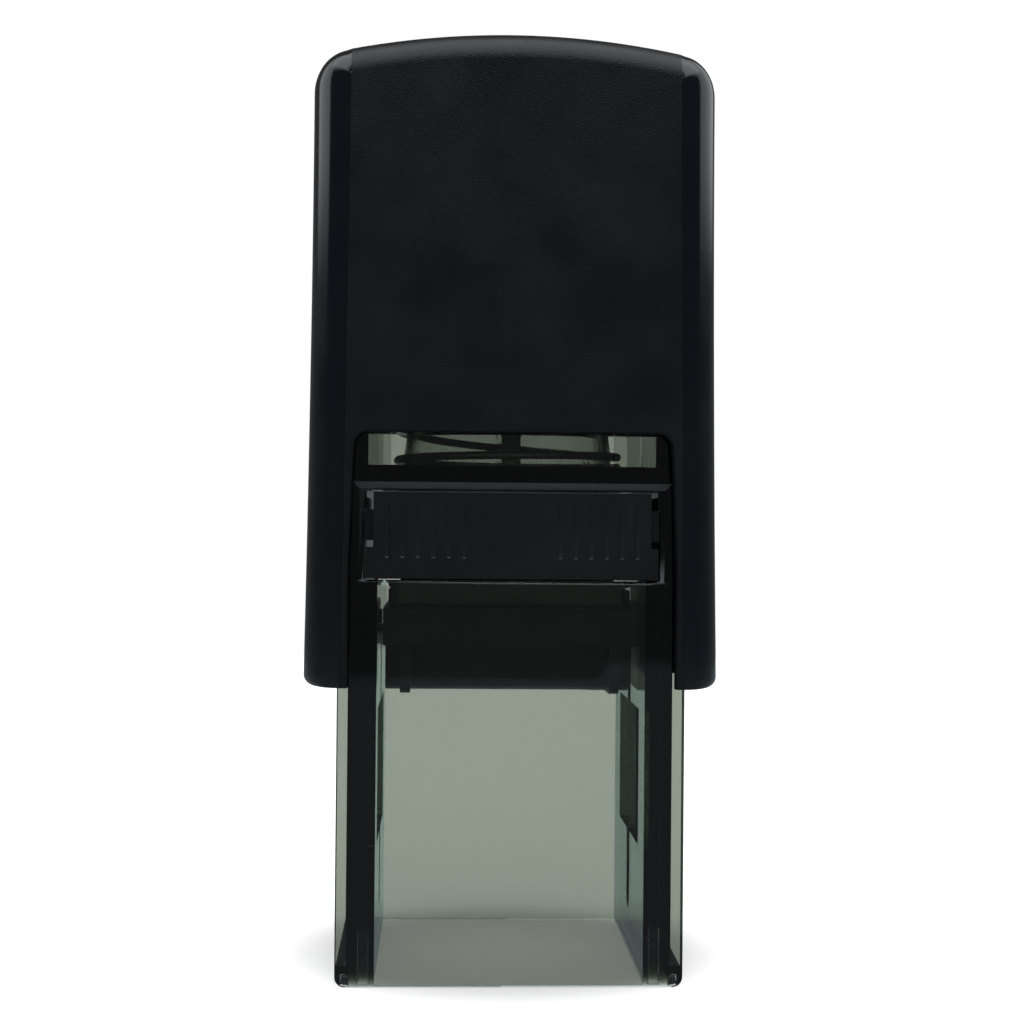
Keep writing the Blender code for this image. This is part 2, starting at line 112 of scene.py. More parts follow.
# Base
PLATE = 1.2 * MM
PLATE_TOP = 50.0 * MM
SIDE_OUT_X = 14.3 * MM
WELL_HALF_X = 11.8 * MM
FOOT_HEIGHT = 1.5 * MM
FLANGE_IN_Y = 12.1 * MM        # the plates' side flanges are thicker than the plates
SLOT_LOW = 35.45 * MM
SLOT_WAIST = 41.62 * MM        # the slot narrows above this height
SLOT_HIGH = 43.3 * MM
SLOT_HALF_X = 13.0 * MM
SLOT_TOP_HALF_X = 12.75 * MM
MOUTH_HALF_X = 13.4 * MM
MOUTH_TOP = 43.42 * MM
MOUTH_FLARE = 0.6 * MM
MOUTH_DEPTH = 0.35 * MM
FOOT_CORNER = 0.9 * MM
FOOT_POCKETS = (               # narrow pockets in the underside: inner and outer x, front and back y, top
    (12.3 * MM, 13.25 * MM, -13.1 * MM, -12.2 * MM, 4.95 * MM),
    (14.0 * MM, 14.7 * MM, -14.0 * MM, -13.1 * MM, 1.0 * MM),
)
DECK_TOP = 45.5 * MM
UPPER_HALF_X = 12.7 * MM
UPPER_HALF_Y = 12.6 * MM
STEP_HALF_X = 11.4 * MM
CAM_DEPTH = 0.8 * MM
CAM_HALF_Y = 8.5 * MM
CAM_HALF_Z = 6.15 * MM
CAM_Z = AXLE_Z - STROKE / 2
AXLE_SLOT_HALF = 1.25 * MM
TUBE_RADIUS = 9.8 * MM
TUBE_TOP_RADIUS = 9.2 * MM
TUBE_SHOULDER = 46.9 * MM
TUBE_WALL = 0.6 * MM
WEB_HALF = 0.85 * MM

# Spring
WIRE_RADIUS = 0.375 * MM
CLOSED_PITCH = 0.9 * MM
ACTIVE_TURNS = 5.5
STEPS_PER_TURN = 40
WIRE_SIDES = 14

# Carriage, with heights measured from the axle
CARRIAGE_HALF_X = 11.35 * MM
AXLE_BORE = AXLE_RADIUS + 0.15 * MM
PLATFORM_LOW = -0.35 * MM
PLATFORM_TOP = 2.3 * MM
RIM_TOP = 3.0 * MM
RIM_IN = 10.35 * MM
CHEEK_TOP = 4.55 * MM
CHEEK_HALF_Y = 8.0 * MM
HUB_LOW = -4.9 * MM
HUB_HALF_X = 11.3 * MM
HUB_HALF_Y = 4.2 * MM
RIB_LOW = -4.65 * MM
RIB_X = 9.35 * MM
RIB_HALF = 0.45 * MM
FOLLOWER_Y = 6.5 * MM
FOLLOWER_RADIUS = 1.1 * MM

# Die pattern
RELIEF = 0.9 * MM
BORDER_WIDTH = 1.2 * MM
RING_RADIUS = 5.6 * MM
RING_WIDTH = 1.1 * MM
DOT_RADIUS = 1.9 * MM

# Ink cartridge
GRIP_BACK = -13.0 * MM
GRIP_HALF_X = 12.15 * MM
GRIP_TOP = 43.15 * MM
SKIRT_HALF_X = 12.8 * MM       # the lower part of the grip is wider
SKIRT_TOP = 38.3 * MM
GRIP_LOW = 35.6 * MM
TRAY_HALF_X = 12.1 * MM
TRAY_TOP = 42.9 * MM
TAB_LOW = 38.9 * MM
TAB_TOP = 41.6 * MM
TAB_BACK = -12.0 * MM
FELT_POCKET_TOP = 38.3 * MM
FELT_POCKET_HALF = 11.1 * MM
TOP_POCKET_LOW = 39.8 * MM
TOP_POCKET_HALF = 10.6 * MM
GROOVES = 6
GROOVE_FIRST_X = 4.2 * MM
GROOVE_PITCH = 1.35 * MM
GROOVE_RADIUS = 0.42 * MM
GROOVE_DEPTH = 0.09 * MM
GROOVE_LOW = 37.2 * MM
GROOVE_TOP = 42.4 * MM
DENT_RADIUS = 3.5 * MM
DENT_DEPTH = 0.12 * MM

FLOOR_RADIUS = 0.4

# What reflections see
ROOM_LIGHT = 0.105
INSIDE_LIGHT = 0.70            # added for reflections inside the clear base that look back
INSIDE_DIM = 0.15              # and for all others inside it
# FLOOR_REFLECTED, and INSIDE_LIGHT behind the middle, also set the floor's painted glow as reflections see it.
FLOOR_REFLECTED = 0.27
TOP_LIGHT = 2.5
SIDE_LIGHTS = (                # side, where it starts and ends going back (0 is straight out), brightness
    (-1, -0.19, 0.60, 1.55),
    (1, -0.22, 0.80, 1.25),
)

BEYOND = 4.0 * MM              # how far a cutter runs past the wall that it cuts
BITE = 0.2 * MM                # how deep a joined solid runs into its neighbour


# ---------------------------------------------------------------- materials

def new_material(name):
    """A material, its node and link lists, and its Principled shader."""
    material = bpy.data.materials.new(name)
    material.use_nodes = True
    tree = material.node_tree
    return material, tree.nodes, tree.links, tree.nodes["Principled BSDF"]


def noise(nodes, links, size, detail=2.0, roughness=0.5):
    """Noise with features about size metres across, in the piece's own coordinates."""
    place = nodes.new("ShaderNodeTexCoord")
    texture = nodes.new("ShaderNodeTexNoise")
    texture.inputs["Scale"].default_value = 1.0 / size
    texture.inputs["Detail"].default_value = detail
    texture.inputs["Roughness"].default_value = roughness
    links.new(place.outputs["Object"], texture.inputs["Vector"])
    return texture.outputs["Fac"]


def spread(nodes, links, value, low, high, start=0.3, end=0.7):
    """Remap a noise value to run from low to high."""
    ramp = nodes.new("ShaderNodeMapRange")
    ramp.inputs["From Min"].default_value = start
    ramp.inputs["From Max"].default_value = end
    ramp.inputs["To Min"].default_value = low
    ramp.inputs["To Max"].default_value = high
    links.new(value, ramp.inputs["Value"])
    return ramp.outputs["Result"]


def tint(nodes, links, value, first, second):
    """A colour that runs from first to second with value."""
    mix = nodes.new("ShaderNodeMix")
    mix.data_type = "RGBA"
    mix.inputs["A"].default_value = (*first, 1.0)
    mix.inputs["B"].default_value = (*second, 1.0)
    links.new(value, mix.inputs["Factor"])
    return mix.outputs["Result"]


def bump(nodes, links, height, distance, strength=1.0, under=None):
    relief = nodes.new("ShaderNodeBump")
    relief.inputs["Distance"].default_value = distance
    relief.inputs["Strength"].default_value = strength
    links.new(height, relief.inputs["Height"])
    if under is not None:
        links.new(under, relief.inputs["Normal"])
    return relief.outputs["Normal"]


def plastic(name, dark, light, gloss, grain, depth, specular=0.5):
    """Moulded plastic: cloudy colour, roughness between the two gloss values, and a fine grain."""
    material, nodes, links, shader = new_material(name)
    cloud = noise(nodes, links, 6 * MM, detail=4.0)
    fine = noise(nodes, links, grain, detail=3.0)
    links.new(tint(nodes, links, cloud, dark, light), shader.inputs["Base Color"])
    links.new(spread(nodes, links, cloud, *gloss), shader.inputs["Roughness"])
    flow = bump(nodes, links, noise(nodes, links, 9 * MM), 0.02 * MM, 0.3)
    links.new(bump(nodes, links, fine, depth, 1.0, under=flow), shader.inputs["Normal"])
    shader.inputs["Specular IOR Level"].default_value = specular
    return material


def smoked_clear():
    """Clear smoked plastic: light is soaked up along its way through the walls."""
    material, nodes, links, shader = new_material("smoked_clear")
    shader.inputs["Base Color"].default_value = (1.0, 1.0, 1.0, 1.0)
    shader.inputs["Transmission Weight"].default_value = 1.0
    shader.inputs["IOR"].default_value = 1.5
    haze = noise(nodes, links, 7 * MM, detail=5.0)
    links.new(spread(nodes, links, haze, 0.0, 0.06, 0.35, 0.8), shader.inputs["Roughness"])
    clear = nodes.new("ShaderNodeBsdfTransparent")
    clear.inputs["Color"].default_value = (0.9, 0.92, 0.9, 1.0)
    rays = nodes.new("ShaderNodeLightPath")
    choose = nodes.new("ShaderNodeMixShader")
    links.new(rays.outputs["Is Shadow Ray"], choose.inputs["Fac"])
    links.new(shader.outputs["BSDF"], choose.inputs[1])
    links.new(clear.outputs["BSDF"], choose.inputs[2])
    output = nodes["Material Output"]
    links.new(choose.outputs["Shader"], output.inputs["Surface"])
    soak = nodes.new("ShaderNodeVolumeAbsorption")
    soak.inputs["Color"].default_value = (0.184, 0.260, 0.150, 1.0)
    soak.inputs["Density"].default_value = 770.0
    links.new(soak.outputs["Volume"], output.inputs["Volume"])
    return material


def steel(name, dark, light, gloss):
    """Drawn or ground steel with faint streaks."""
    material, nodes, links, shader = new_material(name)
    shader.inputs["Metallic"].default_value = 1.0
    cloud = noise(nodes, links, 1.5 * MM, detail=5.0)
    links.new(tint(nodes, links, cloud, dark, light), shader.inputs["Base Color"])
    links.new(spread(nodes, links, cloud, *gloss), shader.inputs["Roughness"])
    links.new(bump(nodes, links, noise(nodes, links, 0.12 * MM), 0.004 * MM, 0.5), shader.inputs["Normal"])
    return material


def porous(name, dark, light, cell, depth, roughness, sheen=0.0):
    """Felt or foam: pores between fibres or cells, and patchy colour."""
    material, nodes, links, shader = new_material(name)
    place = nodes.new("ShaderNodeTexCoord")
    pores = nodes.new("ShaderNodeTexVoronoi")
    pores.inputs["Scale"].default_value = 1.0 / cell
    links.new(place.outputs["Object"], pores.inputs["Vector"])
    patches = noise(nodes, links, 3 * MM, detail=6.0, roughness=0.7)
    links.new(tint(nodes, links, patches, dark, light), shader.inputs["Base Color"])
    fuzz = bump(nodes, links, noise(nodes, links, cell / 2, detail=4.0), depth / 2)
    relief = bump(nodes, links, pores.outputs["Distance"], depth, under=fuzz)
    links.new(relief, shader.inputs["Normal"])
    links.new(spread(nodes, links, patches, *roughness), shader.inputs["Roughness"])
    shader.inputs["Sheen Weight"].default_value = sheen
    return material


def make_materials():
    ink_black = (0.0004, 0.0014, 0.0028)
    soft_black = (0.0010, 0.0024, 0.0040)
    warm_black = (0.0030, 0.0042, 0.0054)
    return {
        "panel": plastic("cap_panel_matte", ink_black, soft_black, (0.30, 0.42), 0.14 * MM, 0.032 * MM,
                         specular=0.32),
        "rail": plastic("cap_rail_gloss", ink_black, soft_black, (0.10, 0.17), 0.5 * MM, 0.002 * MM),
        "inner": plastic("inner_black", soft_black, warm_black, (0.30, 0.45), 0.2 * MM, 0.006 * MM),
        "tray": plastic("tray_black", soft_black, warm_black, (0.34, 0.48), 0.16 * MM, 0.016 * MM,
                        specular=0.3),
        # Painted reflection: this lighter, opaque plastic goes on the pad slot's downward-facing top chamfer,
        # standing in for the bright floor reflected there.
        "mouth": plastic("mouth_edge_painted_reflection", (0.012, 0.016, 0.019), (0.017, 0.021, 0.024), (0.25, 0.35), 0.2 * MM,
                         0.004 * MM),
        "clear": smoked_clear(),
        "spring": steel("spring_wire", (0.16, 0.16, 0.17), (0.30, 0.30, 0.31), (0.22, 0.38)),
        "axle": steel("axle_rod", (0.42, 0.42, 0.43), (0.58, 0.58, 0.59), (0.18, 0.30)),
        "foam": porous("adhesive_foam", (0.010, 0.010, 0.011), (0.022, 0.022, 0.023), 0.25 * MM, 0.05 * MM,
                       (0.8, 0.95)),
        "rubber": porous("die_rubber", (0.018, 0.018, 0.021), (0.060, 0.060, 0.066), 0.12 * MM, 0.01 * MM,
                         (0.5, 0.75)),
        "felt": porous("inked_felt", (0.006, 0.006, 0.010), (0.020, 0.020, 0.028), 0.3 * MM, 0.10 * MM,
                       (0.55, 0.9), sheen=0.2),
    }


# ---------------------------------------------------------------- mesh tools

def object_from(name, shape):
    """A linked object that takes over a bmesh."""
    mesh = bpy.data.meshes.new(name)
    shape.to_mesh(mesh)
    shape.free()
    piece = bpy.data.objects.new(name, mesh)
    bpy.context.scene.collection.objects.link(piece)
    return piece


def box(low, high):
    low, high = Vector(low), Vector(high)
    shape = bmesh.new()
    place = Matrix.Translation((low + high) / 2) @ Matrix.Diagonal((*(high - low), 1.0))
    bmesh.ops.create_cube(shape, size=1.0, matrix=place)
    return object_from("helper", shape)


def turned(profile, steps=72):
    """A solid of revolution about Z through (radius, height) points; a zero radius is a pole."""
    shape = bmesh.new()
    rings = []
    for radius, height in profile:
        if radius == 0:
            rings.append([shape.verts.new((0, 0, height))] * steps)
            continue
        angles = [math.tau * step / steps for step in range(steps)]
        rings.append([shape.verts.new((radius * math.cos(a), radius * math.sin(a), height)) for a in angles])
    closed = profile[0][0] > 0
    pairs = list(zip(rings, rings[1:] + rings[:1])) if closed else list(zip(rings, rings[1:]))
    for lower, upper in pairs:
        for step in range(steps):
            after = (step + 1) % steps
            corners = [lower[step], lower[after], upper[after], upper[step]]
            shape.faces.new(list(dict.fromkeys(corners)))
    bmesh.ops.recalc_face_normals(shape, faces=shape.faces)
    return object_from("helper", shape)


def place(piece, matrix):
    piece.data.transform(matrix)
    return piece


def prism(outline, low, high):
    """An outline of (x, z) points, given thickness along Y."""
    shape = bmesh.new()
    front = [shape.verts.new((across, low, up)) for across, up in outline]
    back = [shape.verts.new((across, high, up)) for across, up in outline]
    shape.faces.new(front)
    shape.faces.new(back)
    for index in range(len(outline)):
        after = (index + 1) % len(outline)
        shape.faces.new((front[index], front[after], back[after], back[index]))
    bmesh.ops.recalc_face_normals(shape, faces=shape.faces)
    return object_from("helper", shape)


def loft(near, far):
    """A solid between two loops of points that match one to one."""
    shape = bmesh.new()
    first = [shape.verts.new(point) for point in near]
    second = [shape.verts.new(point) for point in far]
    shape.faces.new(first)
    shape.faces.new(second)
    for index in range(len(near)):
        after = (index + 1) % len(near)
        shape.faces.new((first[index], first[after], second[after], second[index]))
    bmesh.ops.recalc_face_normals(shape, faces=shape.faces)
    return object_from("helper", shape)


def capsule(radius, low, high):
    """An upright rod with round ends."""
    shape = bmesh.new()
    bmesh.ops.create_uvsphere(shape, u_segments=24, v_segments=16, radius=radius)
    half = (high - low) / 2 - radius
    for point in shape.verts:
        point.co.z += math.copysign(half, point.co.z) if abs(point.co.z) > radius / 1000 else half
    waist = [point for point in shape.verts if abs(point.co.z - half) < radius / 1000]
    for point in waist:
        point.co.z = half
    bmesh.ops.translate(shape, verts=shape.verts, vec=(0, 0, (low + high) / 2))
    return object_from("helper", shape)


def combine(piece, helper, operation):
    step = piece.modifiers.new(operation.lower(), "BOOLEAN")
    step.operation = operation
    step.solver = "EXACT"
    step.object = helper


def cut(piece, *helpers):
    for helper in helpers:
        combine(piece, helper, "DIFFERENCE")


def join(piece, *helpers):
    for helper in helpers:
        combine(piece, helper, "UNION")


def settle(piece):
    """Apply the Booleans, remove their helpers and merge flat faces."""
    graph = bpy.context.evaluated_depsgraph_get()
    mesh = bpy.data.meshes.new_from_object(piece.evaluated_get(graph))
    helpers = [step.object for step in piece.modifiers if step.type == "BOOLEAN"]
    piece.modifiers.clear()
    piece.data = mesh
    for helper in helpers:
        bpy.data.objects.remove(helper, do_unlink=True)
    shape = bmesh.new()
    shape.from_mesh(mesh)
    bmesh.ops.remove_doubles(shape, verts=shape.verts, dist=0.0005 * MM)
    bmesh.ops.dissolve_limit(shape, angle_limit=math.radians(0.3), verts=shape.verts, edges=shape.edges)
    shape.to_mesh(mesh)
    shape.free()
    return piece


def soften(piece, width, segments=3, angle=math.radians(38)):
    """Round the sharp edges and keep the flats flat."""
    rounding = piece.modifiers.new("rounding", "BEVEL")
    rounding.width = width
    rounding.segments = segments
    rounding.limit_method = "ANGLE"
    rounding.angle_limit = angle
    rounding.harden_normals = False
    even_out(piece)
    return piece


def even_out(piece):
    piece.data.shade_smooth()
    weighted = piece.modifiers.new("weighted_normals", "WEIGHTED_NORMAL")
    weighted.keep_sharp = True
    weighted.weight = 80


def finish_piece(piece, name, body, slot, material, *nodes):
    """Name the piece, give it its material, and tie it to the frame."""
    piece.name = name
    piece.data.name = name
    if material is not None:
        piece.data.materials.clear()
        piece.data.materials.append(material)
    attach(piece, body)
    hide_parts(*nodes)
    return piece


def arc(centre, radius, start, end, steps):
    """Points on a circle between two angles in degrees, ends included."""
    points = []
    for step in range(steps + 1):
        angle = math.radians(start + (end - start) * step / steps)
        points.append((centre[0] + radius * math.cos(angle), centre[1] + radius * math.sin(angle)))
    return points


# ---------------------------------------------------------------- cap

PANEL, RAIL = 0, 1


def seam_x(height):
    """Half the width of the matte centre panel, which spreads a little towards the foot."""
    share = (SHOULDER_Z - height) / (SHOULDER_Z - CAP_LOW.z)
    return SEAM_TOP_X + (SEAM_FOOT_X - SEAM_TOP_X) * min(max(share, 0.0), 1.0)


def run(shape, across, up, draw_x, draw_z, depth, half_y):
    """Vertices from the front face over its rounded edge, along the silhouette, to the back face."""
    front = []
    for step in range(FILLET_STEPS + 1):
        angle = QUARTER * (1 - step / FILLET_STEPS)
        drawn = 1 - math.cos(angle)
        along = depth * (1 - math.sin(angle)) - half_y
        front.append(Vector((across - draw_x * drawn, along, up - draw_z * drawn)))
    middle = [Vector((across, 0.0, up))]
    back = [Vector((point.x, -point.y, point.z)) for point in reversed(front)]
    return [shape.verts.new(point) for point in front + middle + back]


def rail_runs(shape, sign, inset, step):
    """One rail and shoulder, from the cap's foot up to the panel's seam."""
    half_y = CAP_HIGH.y - inset - step
    depth = RAIL_DEPTH - inset
    top_round = TOP_ROUND - inset
    foot_round = FOOT_ROUND if inset == 0 else 0.3 * MM
    foot_x = CAP_FOOT_X - inset
    top_x = CAP_HALF_TOP - inset
    places = arc((foot_x - foot_round, CAP_LOW.z + foot_round), foot_round, -90, 0, 6)
    start = CAP_LOW.z + foot_round
    for row in range(1, SIDE_ROWS + 1):
        share = row / SIDE_ROWS
        flare = (foot_x - top_x) * (1 - share) ** SIDE_FLARE
        places.append((top_x + flare, start + (SHOULDER_Z - start) * share))
    runs = [run(shape, sign * across, up, sign * (across - seam_x(up) - step / 2), 0.0, depth, half_y)
            for across, up in places]
    bends = arc((SHOULDER_X, SHOULDER_Z), SHOULDER_RADIUS - inset, 0, 90 - SHOULDER_MEET, SHOULDER_STEPS)
    for index, (across, up) in enumerate(bends[1:], 1):
        rise = ease(index / SHOULDER_STEPS)
        draw_x = max(across - SEAM_TOP_X - step / 2, 0.0)
        runs.append(run(shape, sign * across, up - step * rise, sign * draw_x, top_round * rise,
                        depth + (top_round - depth) * rise, half_y))
    return runs


def panel_runs(shape, start_x, inset):
    """The centre panel over the arched top, from right to left."""
    runs = []
    depth = TOP_ROUND - inset
    arch_z = CAP_HIGH.z - ARCH_RADIUS
    for step in range(ARCH_STEPS + 1):
        across = start_x * (1 - 2 * step / ARCH_STEPS)
        up = arch_z + math.sqrt((ARCH_RADIUS - inset) ** 2 - across ** 2)
        runs.append(run(shape, across, up, 0.0, depth, depth, CAP_HIGH.y - inset))
    return runs


def window_loop(shape, along, grow):
    """Vertices round the window's edge, open at the foot, from bottom right to bottom left."""
    top = (WINDOW_TOP if along < 0 else BACK_WINDOW_TOP) + grow
    corner = WINDOW_CORNER + grow
    places = []
    for row in range(WINDOW_ROWS):
        up = CAP_LOW.z + (top - corner - CAP_LOW.z) * row / WINDOW_ROWS
        share = min(max((up - WINDOW_STRAIGHT) / (WINDOW_TOP - WINDOW_STRAIGHT), 0.0), 1.0)
        places.append((WINDOW_FOOT_X + (WINDOW_TOP_X - WINDOW_FOOT_X) * share + grow, up))
    places += arc((WINDOW_TOP_X + grow - corner, top - corner), corner, 0, 90, 12)
    places += [(-across, up) for across, up in reversed(places)]
    return [shape.verts.new((across, along, up)) for across, up in places]


def strip(shape, first, second, material_index):
    """Quads between two rows of vertices, leaving out vertices that the rows share."""
    for here in range(len(first) - 1):
        corners = list(dict.fromkeys((first[here], first[here + 1], second[here + 1], second[here])))
        if len(corners) > 2:
            shape.faces.new(corners).material_index = material_index


def flat_end(shape, row, rails, top, inset, step):
    """The front (row 0) or back (row -1) panel with its window; gives the window's loops and the foot's edge."""
    side = -1 if row == 0 else 1
    along = side * (CAP_HIGH.y - inset)
    edges = {}
    for sign, corner in ((1, top[0]), (-1, top[-1])):
        seam = [vertices[row] for vertices in rails[sign]]
        if step:
            raised = [shape.verts.new((sign * seam_x(vertex.co.z), along, vertex.co.z)) for vertex in seam[:-1]]
            raised.append(corner[row])
            strip(shape, seam, raised, RAIL)
            seam = raised
        edges[sign] = seam
    loops = []
    lips = LIP_STEPS if inset == 0 else 0
    for index in range(lips + 1):
        angle = QUARTER * index / lips if lips else QUARTER
        rounded = along - side * (LIP_ROUND * (1 - math.cos(angle)) if lips else 0.0)
        loops.append(window_loop(shape, rounded, LIP_ROUND * (1 - math.sin(angle))))
    ring = edges[1] + [vertices[row] for vertices in top[1:-1]] + edges[-1][::-1] + loops[0][::-1]
    shape.faces.new(ring).material_index = PANEL
    return loops, {sign: edges[sign][0] for sign in edges}


def skin(shape, inset, step):
    """One skin of the cap, and what it shares with the other: window loops and the rows along the foot."""
    rails = {sign: rail_runs(shape, sign, inset, step) for sign in (1, -1)}
    if step:
        top = panel_runs(shape, SEAM_TOP_X, inset)
    else:
        top = panel_runs(shape, rails[1][-1][0].co.x, inset)
        for sign, place in ((1, 0), (-1, -1)):
            for vertex in top[place]:
                shape.verts.remove(vertex)
            top[place] = rails[sign][-1]
    for sign in (1, -1):
        for first, second in zip(rails[sign], rails[sign][1:]):
            strip(shape, first, second, RAIL)
    for first, second in zip(top, top[1:]):
        strip(shape, first, second, PANEL)
    if step:
        strip(shape, rails[1][-1], top[0], RAIL)
        strip(shape, rails[-1][-1], top[-1], RAIL)
    windows, feet = {}, {1: [], -1: []}
    for row in (0, -1):
        windows[row], corners = flat_end(shape, row, rails, top, inset, step)
        for sign in (1, -1):
            feet[sign].append(corners[sign])
    rims = {}
    for sign in (1, -1):
        edge = 0 if sign == 1 else -1
        front = [loop[edge] for loop in reversed(windows[0])]
        back = [loop[edge] for loop in windows[-1]]
        rims[sign] = list(dict.fromkeys(front + [feet[sign][0]] + rails[sign][0] + [feet[sign][1]] + back))
    return windows, rims


def make_cap(materials):
    """The cap shell: outer and inner skins joined round the windows and along the foot."""
    shape = bmesh.new()
    outer_windows, outer_rims = skin(shape, 0.0, SEAM_STEP)
    inner_windows, inner_rims = skin(shape, CAP_WALL, 0.0)
    for row in (0, -1):
        loops = outer_windows[row] + inner_windows[row]
        for first, second in zip(loops, loops[1:]):
            strip(shape, first, second, PANEL)
    for sign in (1, -1):
        shape.faces.new(outer_rims[sign] + inner_rims[sign][::-1]).material_index = RAIL
    bmesh.ops.recalc_face_normals(shape, faces=shape.faces)
    cap = object_from("cap_outer", shape)
    cap.data.shade_smooth()
    cap.data.set_sharp_from_angle(angle=math.radians(35))
    weighted = cap.modifiers.new("weighted_normals", "WEIGHTED_NORMAL")
    weighted.keep_sharp = True
    cap.data.materials.append(materials["panel"])
    cap.data.materials.append(materials["rail"])
    finish_piece(cap, "cap_outer", "cap", "black_cap_plastic", None, "cap_shell")
    for side in (-1, 1):
        middle = side * BRACE_X
        brace = box((middle - BRACE_HALF, -BRACE_HALF_Y, YOKE_HIGH.z),
                    (middle + BRACE_HALF, BRACE_HALF_Y, CAP_HIGH.z - CAP_WALL - 0.2 * MM))
        soften(brace, 0.15 * MM)
        finish_piece(brace, "cap_brace_" + SIDES[side], "cap", "black_cap_plastic", materials["inner"])


# ---------------------------------------------------------------- base

def make_base(materials):
    """The smoked clear moulding, cut like the CAD part with finer edges."""
    half = BASE_HIGH.x
    outline = arc((half - FOOT_CORNER, FOOT_CORNER), FOOT_CORNER, -90, 0, 8)
    outline += [(half, PLATE_TOP), (-half, PLATE_TOP)]
    outline += arc((FOOT_CORNER - half, FOOT_CORNER), FOOT_CORNER, 180, 270, 8)
    base = prism(outline, BASE_LOW.y, BASE_HIGH.y)
    base.data.materials.append(materials["clear"])
    # The second material goes on the slot's top chamfer: lighter plastic as a painted reflection of the floor.
    base.data.materials.append(materials["mouth"])
    plate_in = BASE_HIGH.y - PLATE
    for side in (-1, 1):
        outside = sorted((side * SIDE_OUT_X, side * (half + BEYOND)))
        cut(base, box((outside[0], -FLANGE_IN_Y, FOOT_HEIGHT), (outside[1], FLANGE_IN_Y, PLATE_TOP + BEYOND)))
        for near_x, far_x, front, back, top in FOOT_POCKETS:
            across = sorted((side * near_x, side * far_x))
            cut(base, box((across[0], front, -BEYOND), (across[1], back, top)))
            cut(base, box((across[0], -back, -BEYOND), (across[1], -front, top)))
        pocket = sorted((side * STEP_HALF_X, side * (WELL_HALF_X + CAM_DEPTH)))
        cut(base, box((pocket[0], -CAM_HALF_Y, CAM_Z - CAM_HALF_Z), (pocket[1], CAM_HALF_Y, CAM_Z + CAM_HALF_Z)))
    middle = (SLOT_LOW + SLOT_HIGH) / 2
    cut(base, box((-WELL_HALF_X, -plate_in, -BEYOND), (WELL_HALF_X, plate_in, middle)))
    through = half + BEYOND
    cut(base, box((-SLOT_HALF_X, -through, SLOT_LOW), (SLOT_HALF_X, through, SLOT_WAIST)))
    narrow = SLOT_TOP_HALF_X
    cut(base, box((-narrow, -through, SLOT_WAIST - BITE), (narrow, through, SLOT_HIGH)))
    for side in (-1, 1):
        cut(base, slot_mouth(side))
    cut(base, box((-UPPER_HALF_X, -UPPER_HALF_Y, DECK_TOP), (UPPER_HALF_X, UPPER_HALF_Y, PLATE_TOP + BEYOND)))
    cut(base, box((-STEP_HALF_X, -plate_in, DECK_TOP), (STEP_HALF_X, plate_in, PLATE_TOP + BEYOND)))
    low, high = AXLE_Z - STROKE, AXLE_Z
    outline = arc((0, high), AXLE_SLOT_HALF, 0, 180, 20) + arc((0, low), AXLE_SLOT_HALF, 180, 360, 20)
    cut(base, place(prism(outline, -through, through), Matrix.Rotation(QUARTER, 4, "Z")))
    foot = DECK_TOP - BITE
    outside = [(TUBE_TOP_RADIUS, BASE_HIGH.z), (TUBE_RADIUS, TUBE_SHOULDER), (TUBE_RADIUS, foot)]
    inside = [(across - TUBE_WALL, up) for across, up in reversed(outside)]
    reach = TUBE_TOP_RADIUS - TUBE_WALL / 2
    web = box((-WEB_HALF, -reach, foot), (WEB_HALF, reach, BASE_HIGH.z - BITE))
    join(base, turned(outside + inside, steps=120), web)
    settle(base)
    soften(base, 0.1 * MM, segments=2)
    finish_piece(base, "clear_base", "base", "smoked_clear_plastic", None, "base_frame")


def slot_mouth(side):
    """A cutter that flares the pad slot where it breaks out of a plate."""
    proud = 0.01 * MM
    grow = MOUTH_FLARE * (1 + proud / MOUTH_DEPTH)
    near, far = [], []
    for across, up, height in ((-1, -1, SLOT_LOW), (1, -1, SLOT_LOW), (1, 1, MOUTH_TOP), (-1, 1, MOUTH_TOP)):
        near.append((across * (MOUTH_HALF_X + grow), side * (BASE_HIGH.y + proud), height + up * grow))
        far.append((across * MOUTH_HALF_X, side * (BASE_HIGH.y - MOUTH_DEPTH), height))
    mouth = loft(near, far)
    # Faces that face up here become the slot's downward-facing top chamfer and take the lighter plastic, a painted
    # reflection of the floor.
    for face in mouth.data.polygons:
        face.material_index = int(face.normal.z > 0.3)
    return mouth


# ---------------------------------------------------------------- spring

def ease(value):
    value = min(max(value, 0.0), 1.0)
    return value * value * (3 - 2 * value)


def coil_places():
    """Points up the coil: closed turns at both ends run smoothly into the active ones."""
    turns = ACTIVE_TURNS + 2
    low = SPRING_LOW.z + WIRE_RADIUS
    high = SPRING_HIGH.z - WIRE_RADIUS
    steps = round(turns * STEPS_PER_TURN)
    opened = []
    for step in range(steps + 1):
        turn = step / STEPS_PER_TURN
        opened.append(ease((turn - 0.95) / 0.12) * ease((turns - 0.95 - turn) / 0.12))
    extra = (high - low - CLOSED_PITCH * turns) / (sum(opened[:-1]) / STEPS_PER_TURN)
    height = low
    radius = SPRING_HIGH.x - WIRE_RADIUS
    places = []
    for step in range(steps + 1):
        angle = math.tau * step / STEPS_PER_TURN
        places.append(Vector((radius * math.cos(angle), radius * math.sin(angle), height)))
        height += (CLOSED_PITCH + extra * opened[step]) / STEPS_PER_TURN
    return places


